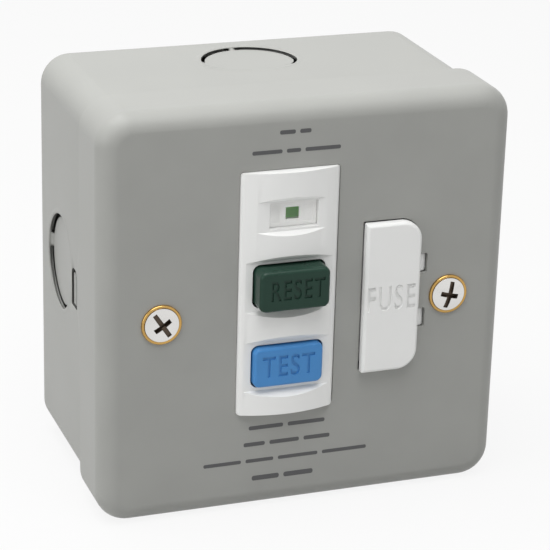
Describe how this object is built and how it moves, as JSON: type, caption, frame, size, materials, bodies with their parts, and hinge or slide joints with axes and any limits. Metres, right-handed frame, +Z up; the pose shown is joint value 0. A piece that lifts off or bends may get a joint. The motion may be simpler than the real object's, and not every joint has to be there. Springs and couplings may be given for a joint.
{
  "type": "fused spur unit with residual current device",
  "caption": "Square metal-clad fused spur unit with a residual current device, test and reset buttons and a hinged fuse carrier, in a surface box.",
  "frame": {"origin": "centre of the back box's rear face, which lies on the wall", "axes": "+Y into the wall, +Z up, +X to the right as seen from the front; the front plate faces -Y"},
  "size_m": [0.085, 0.0548, 0.085],
  "materials": {
    "grey_painted_steel": "semi-matt baked paint",
    "zinc_plated_steel": "bright zinc plate",
    "nickel_plated_steel": "nickel plate",
    "brass": "plain turned brass",
    "silver_plated_brass": "silver plate",
    "white_plastic": "moulded gloss",
    "grey_moulding": "moulded thermoset",
    "black_plastic": "moulded matt",
    "green_plastic": "moulded semi-gloss",
    "blue_plastic": "moulded semi-gloss",
    "flag_green": "printed",
    "clear_plastic": "clear moulded plastic",
    "ceramic": "glazed ceramic",
    "enamelled_copper": "enamelled wire",
    "green_laminate": "solder mask",
    "ferrite": "coated toroid",
    "resistor_coating": "lacquered",
    "spring_steel": "drawn wire"
  },
  "bodies": {
    "unit": {"back_box": "grey_painted_steel", "fixed_lug": "zinc_plated_steel", "adjustable_lug": "zinc_plated_steel", "box_earth_terminal": "brass", "box_earth_screw": "brass", "housing": "grey_moulding", "supply_neutral_terminal": "brass", "supply_earth_terminal": "brass", "supply_live_terminal": "brass", "load_neutral_terminal": "brass", "load_earth_terminal": "brass", "load_live_terminal": "brass", "terminal_screws": "zinc_plated_steel", "circuit_board": "green_laminate", "sensing_core": "ferrite", "test_resistor": "resistor_coating", "test_contact": "silver_plated_brass", "solenoid_yoke": "zinc_plated_steel", "solenoid_bobbin": "black_plastic", "solenoid_winding": "enamelled_copper", "fixed_contacts": "silver_plated_brass", "mechanism_frame": "black_plastic", "reset_spring": "spring_steel", "test_spring": "spring_steel", "indicator_mask": "white_plastic", "indicator_lens": "clear_plastic", "module_front": "white_plastic", "fuse_clip_lower": "silver_plated_brass", "fuse_clip_upper": "silver_plated_brass", "fuse_hinge_pin": "spring_steel", "front_plate": "grey_painted_steel", "screw_cup_left": "brass", "plate_screw_left": "nickel_plated_steel", "screw_cup_right": "brass", "plate_screw_right": "nickel_plated_steel"},
    "reset_button": {"reset_button": "green_plastic"},
    "test_button": {"test_button": "blue_plastic"},
    "fuse_carrier": {"fuse_carrier": "white_plastic", "fuse_tube": "ceramic", "fuse_cap_lower": "nickel_plated_steel", "fuse_cap_upper": "nickel_plated_steel"},
    "contact_carriage": {"contact_carriage": "black_plastic", "moving_contacts": "silver_plated_brass"},
    "indicator_flag": {"indicator_flag": "flag_green"},
    "trip_plunger": {"trip_plunger": "zinc_plated_steel"}
  },
  "joints": [
    {"name": "reset_press", "type": "slide", "parent": "unit", "child": "reset_button", "axis": [0, 1, 0], "range_m": [0, 0.003], "stiffness_N_per_m": 200, "springref_m": -0.004, "deforming": ["reset_spring"]},
    {"name": "test_press", "type": "slide", "parent": "unit", "child": "test_button", "axis": [0, 1, 0], "range_m": [0, 0.0012], "stiffness_N_per_m": 200, "springref_m": -0.004, "deforming": ["test_spring"]},
    {"name": "fuse_carrier_hinge", "type": "hinge", "parent": "unit", "child": "fuse_carrier", "pos_m": [0.0243, -0.0482, 0], "axis": [0, 0, 1], "range_deg": [0, 48]},
    {"name": "contact_close", "type": "slide", "parent": "unit", "child": "contact_carriage", "axis": [0, -1, 0], "range_m": [0, 0.0025]},
    {"name": "flag_drop", "type": "slide", "parent": "unit", "child": "indicator_flag", "axis": [0, 0, -1], "range_m": [0, 0.0031]},
    {"name": "plunger_strike", "type": "slide", "parent": "unit", "child": "trip_plunger", "axis": [0, 0, -1], "range_m": [0, 0.002]}
  ],
  "couplings": [
    {"joint": "flag_drop", "follows": "contact_close", "ratio": 1.24}
  ]
}
